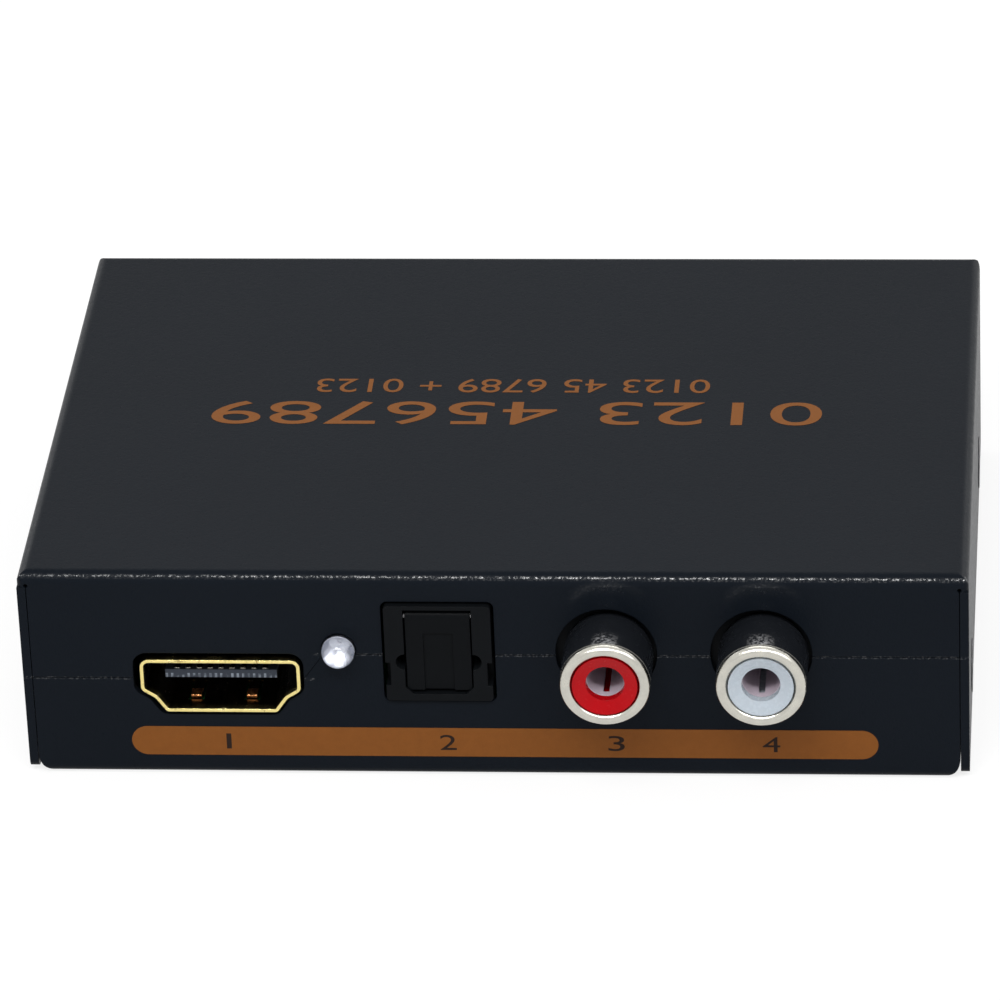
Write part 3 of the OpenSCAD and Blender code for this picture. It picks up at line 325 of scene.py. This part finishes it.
def nickel_plate(name="nickel_plate", base=(0.72, 0.70, 0.67), rough=0.2):
    s = Shade(name, base, rough, metallic=1.0)
    s.soft_edges(0.08)
    smear = s.noise(0.8, 3.0, 0.6)
    s.shift_tint(base, 0.9, 1.12, smear)
    s.rough(smear, 0.8 * rough, 1.3 * rough)
    s.bump(s.noise(5.0, 2.0), 0.08, 0.02)
    return s.mat


def moulded(name, base, rough, specular=0.4, grain=6.0, depth=0.02, spread=0.12, scatter=0.0):
    """Moulded plastic with a fine spark-eroded grain and faint flow marks."""
    s = Shade(name, base, rough, specular=specular)
    s.soft_edges(0.1)
    s.shift_tint(base, 1 - spread, 1 + spread, s.noise(0.35, 3.0, 0.6, (1, 0.4, 1)))
    s.rough(s.noise(2.5, 2.0), 0.85 * rough, 1.2 * rough)
    s.bump(s.noise(grain, 2.0, 0.6), 0.25, depth)
    if scatter:
        s.set("Subsurface Weight", scatter)
        s.set("Subsurface Radius", (1.0, 0.5, 0.4))
        s.set("Subsurface Scale", 0.8 * MM)
    return s.mat


def tongue_plastic():
    """Dark grey-blue plastic with bright contact tips along its front edge."""
    base = (0.021, 0.026, 0.036)
    s = Shade("tongue_plastic", base, 0.4, specular=0.15)
    x, y, z = s.axes()
    wave = s.math("SINE", s.product(x, TIPS_PER_MM * 2 * math.pi))
    tips = s.product(
        s.math("GREATER_THAN", wave, 0.2),
        s.math("LESS_THAN", z, TIPS_TOP_Z),
        s.math("LESS_THAN", y, TONGUE_Y),
        s.ramp(s.noise(1.3, 2.0), 0.35, 0.6))
    s.tint(base, (0.15, 0.17, 0.20), tips)
    s.bump(s.noise(6.0, 2.0), 0.2, 0.02)
    return s.mat


def clear_lens():
    s = Shade("clear_lens", (0.96, 0.97, 1.0), 0.04)
    s.set("Transmission Weight", 1.0)
    s.set("IOR", 1.5)
    s.bump(s.noise(1.4, 2.0), 0.12, 0.05)
    return s.mat


def board_laminate():
    """Green laminate with faint wavy copper tracks that run in lanes."""
    s = Shade("board_laminate", (0.01, 0.10, 0.035), 0.25)
    across = s.math("ADD", s.axes()[0], s.noise(0.12, 0.0))
    tracks = s.math("GREATER_THAN", s.math("SINE", s.product(across, 5.2)), 0.25)
    lanes = s.math("GREATER_THAN", s.noise(0.16, 0.0, 0.5, (1, 0.35, 1)), 0.52)
    copper = s.product(tracks, lanes)
    s.tint((0.008, 0.075, 0.028), (0.016, 0.15, 0.05), copper)
    s.bump(copper, 0.4, 0.03)
    s.bump(s.noise(2.0, 1.0), 0.1, 0.02)
    return s.mat


def print_ink(name, base):
    """Screen-printed ink with thin patches along its grain."""
    s = Shade(name, base, 0.48, specular=0.08)
    s.shift_tint(base, 0.88, 1.1, s.noise(1.1, 3.0, 0.65))
    s.bump(s.noise(5.5, 2.0, 0.6), 0.3, 0.03)
    return s.mat


# Plastics and other moulded stuff: base colour, roughness, and what differs from the usual
MOULDED = {
    "black_plastic": ((0.0034, 0.0040, 0.0048), 0.42, {"specular": 0.045}),
    "shutter_plastic": ((0.0026, 0.0031, 0.0038), 0.36, {"specular": 0.045}),
    "emitter_plastic": ((0.12, 0.01, 0.01), 0.2, {}),
    "red_plastic": ((0.30, 0.0015, 0.004), 0.24, {"specular": 0.1}),
    "white_plastic": ((0.33, 0.37, 0.41), 0.26, {"specular": 0.3, "spread": 0.03, "scatter": 0.05}),
    "brown_phenolic": ((0.22, 0.11, 0.045), 0.55, {}),
    "chip_epoxy": ((0.02, 0.02, 0.022), 0.45, {}),
    "ferrite": ((0.05, 0.05, 0.055), 0.5, {"grain": 3.0, "depth": 0.05}),
    "chip_ceramic": ((0.36, 0.26, 0.17), 0.35, {}),
}
MATERIALS = {name: moulded(name, base, rough, **more) for name, (base, rough, more) in MOULDED.items()}
MATERIALS.update({
    "painted_steel": painted_steel(),
    "screw_steel": screw_steel(),
    "gold_plate": gold_plate(),
    "nickel_plate": nickel_plate(),
    "can_aluminium": nickel_plate("can_aluminium", (0.70, 0.71, 0.73), 0.3),
    "tongue_plastic": tongue_plastic(),
    "clear_lens": clear_lens(),
    "board_laminate": board_laminate(),
})
# Nodes whose look differs from that of their slot
shell_metal = ring_nickel()
sleeve_metal = moulded("sleeve_metal", (0.40, 0.34, 0.39), 0.4, spread=0.1)
OWN_LOOKS = {
    "side_screws": screw_steel("blackened_steel", (0.055, 0.056, 0.06)),
    "left_phono_shell": shell_metal,
    "right_phono_shell": shell_metal,
    "left_phono_contact": sleeve_metal,
    "right_phono_contact": sleeve_metal,
}
for part in frame["record"]["subparts"]:
    obj = nodes[part["node"]]
    look = OWN_LOOKS.get(part["node"], MATERIALS[part["material_slot"]])
    for slot in obj.material_slots:
        slot.material = look
    if not obj.material_slots:
        obj.data.materials.append(look)

# Printed marks

# Thickness of the bar's ink, how far it is sunk, its sloped rim's width and where the slope starts
INK = 0.03
INK_SUNK = 0.01
RIM_INSET = 0.03
RIM_SHARE = 0.6
# Thickness of the digits, and how far the port digits' middle lies above the bar
MARK_THICK = 0.02
MARK_LIFT = 0.005
# Ends and edges of the bar, and the steps of each rounded end
BAND_LEFT, BAND_RIGHT = -33.43, 34.75
BAND_LOW, BAND_HIGH = 2.15, 5.17
END_STEPS = 24
# Port digits: height, base line, and for each its middle and width
PORT_MARK_H, PORT_MARK_Z = 1.6, 2.85
PORTS = (("1", -24.5, 0.45), ("2", -4.4, 1.5), ("3", 10.95, 1.5), ("4", 25.05, 1.6))
# Rows on the top: name, digits, height, width, and the middle of the base line
TOP_ROWS = (
    ("top_mark_large", "0123 456789", 4.4, 57.2, 0.25, 1.4),
    ("top_mark_small", "0123 45 6789 + 0123", 2.6, 37.1, -0.4, 5.8),
)


def mesh_piece(name, verts, faces, material):
    mesh = bpy.data.meshes.new(name)
    mesh.from_pydata([[c * MM for c in v] for v in verts], [], faces)
    mesh.validate()
    mesh.update()
    obj = bpy.data.objects.new(name, mesh)
    bpy.context.collection.objects.link(obj)
    mesh.materials.append(material)
    return obj


def joined_rings(ring_count, size):
    """Faces between rings of equally many points, each ring following the one before."""
    faces = []
    for start in range(0, ring_count * size - size, size):
        for i in range(size):
            j = (i + 1) % size
            faces.append((start + i, start + j, start + size + j, start + size + i))
    return faces


def ink_slab(name, outline, place, material, thick):
    """A thin layer of ink. The outline is flat, and place lifts a point of it to the case."""
    count = len(outline)
    centre = [sum(p[k] for p in outline) / count for k in (0, 1)]
    upper = []
    for px, py in outline:
        dx, dy = px - centre[0], py - centre[1]
        length = math.hypot(dx, dy)
        upper.append((px - RIM_INSET * dx / length, py - RIM_INSET * dy / length))
    verts = [place(px, py, -INK_SUNK) for px, py in outline]
    verts += [place(px, py, thick * RIM_SHARE) for px, py in outline]
    verts += [place(px, py, thick) for px, py in upper]
    faces = joined_rings(3, count)
    faces.append(tuple(range(2 * count, 3 * count)))
    faces.append(tuple(reversed(range(count))))
    return mesh_piece(name, verts, faces, material)


def number_mark(name, digits, height, width, place, material):
    """A row of plain digits as a thin raised mesh, with its height and whole width in millimetres."""
    curve = bpy.data.curves.new(name, "FONT")
    curve.body = digits
    curve.align_x = "CENTER"
    curve.align_y = "BOTTOM_BASELINE"
    curve.resolution_u = 6
    text = bpy.data.objects.new(name, curve)
    bpy.context.collection.objects.link(text)
    bpy.context.view_layer.update()
    mesh = bpy.data.meshes.new_from_object(text.evaluated_get(bpy.context.evaluated_depsgraph_get()))
    bpy.data.objects.remove(text)
    bpy.data.curves.remove(curve)
    left, right = (pick(v.co.x for v in mesh.vertices) for pick in (min, max))
    low, high = (pick(v.co.y for v in mesh.vertices) for pick in (min, max))
    for v in mesh.vertices:
        across = (v.co.x - (left + right) / 2) * width / (right - left)
        up = (v.co.y - low) * height / (high - low)
        v.co = Vector([c * MM for c in place(across, up)])
    mesh.name = name
    obj = bpy.data.objects.new(name, mesh)
    bpy.context.collection.objects.link(obj)
    mesh.materials.clear()
    mesh.materials.append(material)
    thick = obj.modifiers.new("ink", "SOLIDIFY")
    thick.thickness = MARK_THICK * MM
    thick.offset = 0
    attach(obj, "case")
    return obj


orange = print_ink("orange_ink", (0.150, 0.051, 0.0095))
dark = print_ink("dark_ink", (0.016, 0.009, 0.006))
band_r = (BAND_HIGH - BAND_LOW) / 2
band_z = (BAND_HIGH + BAND_LOW) / 2
band = []
for side, x in ((1, BAND_RIGHT - band_r), (-1, BAND_LEFT + band_r)):
    for k in range(END_STEPS + 1):
        a = math.radians(-90 + 180 * k / END_STEPS)
        band.append((x + side * band_r * math.cos(a), band_z + side * band_r * math.sin(a)))
band_piece = ink_slab("front_band", band, lambda px, py, h: (px, FRONT_Y - h, py), orange, INK)
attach(band_piece, "case")

for digit, x, width in PORTS:
    number_mark("port_mark_" + digit, digit, PORT_MARK_H, width,
                lambda px, py, x=x: (x + px, FRONT_Y - INK - MARK_LIFT, PORT_MARK_Z + py), dark)
for name, digits, height, width, x, y in TOP_ROWS:
    number_mark(name, digits, height, width,
                lambda px, py, x=x, y=y: (x - px, y - py, TOP_Z + MARK_THICK / 2), orange)

# Inside of the status light

TURNED_STEPS = 24
# Distance of the reflector's reference point behind the lens's tip
CUP_BACK = 1.5
# Reflector: radius and distance in front of the reference point, from its foot over the rim
CUP = ((0.5, -2.6), (1.0, -1.6), (1.38, -0.75), (1.4, -0.3), (1.15, -0.3), (0.45, -0.9), (0.1, -0.95))


def turned_piece(name, profile, centre, material):
    """A profile of (radius, distance in front of the centre) turned about an axis along Y."""
    verts = []
    for radius, out in profile:
        for k in range(TURNED_STEPS):
            a = 2 * math.pi * k / TURNED_STEPS
            across, up = radius * math.cos(a), radius * math.sin(a)
            verts.append((centre[0] + across, centre[1] - out, centre[2] + up))
    faces = joined_rings(len(profile), TURNED_STEPS)
    faces.append(tuple(range(TURNED_STEPS)))
    faces.append(tuple(reversed(range(len(verts) - TURNED_STEPS, len(verts)))))
    return mesh_piece(name, verts, faces, material)


light_low, light_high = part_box("status_light")
cup_at = (
    (light_low[0] + light_high[0]) / 2 / MM,
    light_low[1] / MM + CUP_BACK,
    (light_low[2] + light_high[2]) / 2 / MM)
cup = turned_piece("light_cup", CUP, cup_at, nickel_plate("lead_frame", (0.52, 0.54, 0.60), 0.3))
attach(cup, "case")

# Camera, fitted to the photograph, with its angles in radians

CAMERA_AT = (54.58, -593.63, 349.78)
YAW, PITCH, ROLL = 0.0944820, 0.5161596, 0.0425837
FOCAL_PX, FRAME_PX, SENSOR_MM = 7275.12, 1000, 36.0
# Nearest and farthest distance that the camera sees, in metres
CLIP_M = (0.01, 50)

ahead = Vector((-math.sin(YAW) * math.cos(PITCH), math.cos(YAW) * math.cos(PITCH), -math.sin(PITCH)))
across = Vector((math.cos(YAW), math.sin(YAW), 0.0))
down = ahead.cross(across)
right = math.cos(ROLL) * across + math.sin(ROLL) * down
below = -math.sin(ROLL) * across + math.cos(ROLL) * down
camera_data = bpy.data.cameras.new("camera")
camera_data.sensor_width = SENSOR_MM
camera_data.lens = FOCAL_PX * SENSOR_MM / FRAME_PX
camera_data.clip_start, camera_data.clip_end = CLIP_M
camera = bpy.data.objects.new("camera", camera_data)
turn = Matrix((right, -below, -ahead)).transposed()
camera.matrix_world = Matrix.Translation(Vector(CAMERA_AT) * MM) @ turn.to_4x4()
bpy.context.collection.objects.link(camera)
bpy.context.scene.camera = camera
bpy.context.scene.view_settings.view_transform = "Standard"

# Floor and world

# Half the floor's side and its drop below the feet, in metres
FLOOR_HALF_M, FLOOR_DROP_M = 6.0, 0.00002
FLOOR_CORNERS = ((-1, -1), (1, -1), (1, 1), (-1, 1))
FLOOR_GREY = 0.92
# Share of plain white in the floor where a ray sees it directly; the rest keeps the shadow
FLOOR_GLOW = 0.8
# Strength of the world for its light, and where a ray sees it directly
WORLD_LIGHT, WORLD_SEEN = 0.55, 1.0


def seen_directly(tree):
    """1 for rays that show the background: from the camera, in gloss and through glass."""
    path = tree.nodes.new("ShaderNodeLightPath")
    total = path.outputs["Is Camera Ray"]
    for name in ("Is Glossy Ray", "Is Transmission Ray"):
        most = tree.nodes.new("ShaderNodeMath")
        most.operation = "MAXIMUM"
        tree.links.new(total, most.inputs[0])
        tree.links.new(path.outputs[name], most.inputs[1])
        total = most.outputs[0]
    return total


floor_mesh = bpy.data.meshes.new("floor")
corners = [(x * FLOOR_HALF_M, y * FLOOR_HALF_M, -FLOOR_DROP_M) for x, y in FLOOR_CORNERS]
floor_mesh.from_pydata(corners, [], [(0, 1, 2, 3)])
floor = bpy.data.objects.new("floor", floor_mesh)
bpy.context.collection.objects.link(floor)
floor_mat = bpy.data.materials.new("floor")
floor_mat.use_nodes = True
tree = floor_mat.node_tree
tree.nodes.remove(tree.nodes["Principled BSDF"])
diffuse = tree.nodes.new("ShaderNodeBsdfDiffuse")
diffuse.inputs["Color"].default_value = (FLOOR_GREY, FLOOR_GREY, FLOOR_GREY, 1)
glow = tree.nodes.new("ShaderNodeEmission")
glow.inputs["Strength"].default_value = 1.0
share = tree.nodes.new("ShaderNodeMath")
share.operation = "MULTIPLY"
share.inputs[1].default_value = FLOOR_GLOW
tree.links.new(seen_directly(tree), share.inputs[0])
mix = tree.nodes.new("ShaderNodeMixShader")
tree.links.new(share.outputs[0], mix.inputs["Fac"])
tree.links.new(diffuse.outputs[0], mix.inputs[1])
tree.links.new(glow.outputs[0], mix.inputs[2])
tree.links.new(mix.outputs[0], tree.nodes["Material Output"].inputs["Surface"])
floor_mesh.materials.append(floor_mat)

world = bpy.data.worlds.new("world")
bpy.context.scene.world = world
world.use_nodes = True
tree = world.node_tree
back = tree.nodes["Background"]
back.inputs["Color"].default_value = (1, 1, 1, 1)
level = tree.nodes.new("ShaderNodeMapRange")
level.inputs["To Min"].default_value = WORLD_LIGHT
level.inputs["To Max"].default_value = WORLD_SEEN
tree.links.new(seen_directly(tree), level.inputs["Value"])
tree.links.new(level.outputs["Result"], back.inputs["Strength"])

# Lamps: name, place, size, power in watts, and what they aim at

CASE_MIDDLE = (0, 0, 10)
FRONT_BEND = (0, FRONT_Y, 21)
LAMPS = (
    ("key", (-60, -440, 620), (300, 260), 1.5, CASE_MIDDLE),
    ("fill", (420, -300, 420), (300, 300), 0.7, CASE_MIDDLE),
    ("rim", (0, 520, 620), (600, 160), 0.8, CASE_MIDDLE),
    ("rear_left", (-430, 400, 240), (260, 200), 0.9, CASE_MIDDLE),
    ("rear_right", (430, 400, 240), (260, 200), 0.7, CASE_MIDDLE),
    ("strip", (0, -440, 560), (900, 24), 3.4, FRONT_BEND),
)
for name, at, size, power, aim in LAMPS:
    data = bpy.data.lights.new(name, "AREA")
    data.shape = "RECTANGLE"
    data.size, data.size_y = (s * MM for s in size)
    data.energy = power
    lamp = bpy.data.objects.new(name, data)
    lamp.location = Vector(at) * MM
    lamp.rotation_euler = (Vector(aim) * MM - lamp.location).to_track_quat("-Z", "Y").to_euler()
    bpy.context.collection.objects.link(lamp)
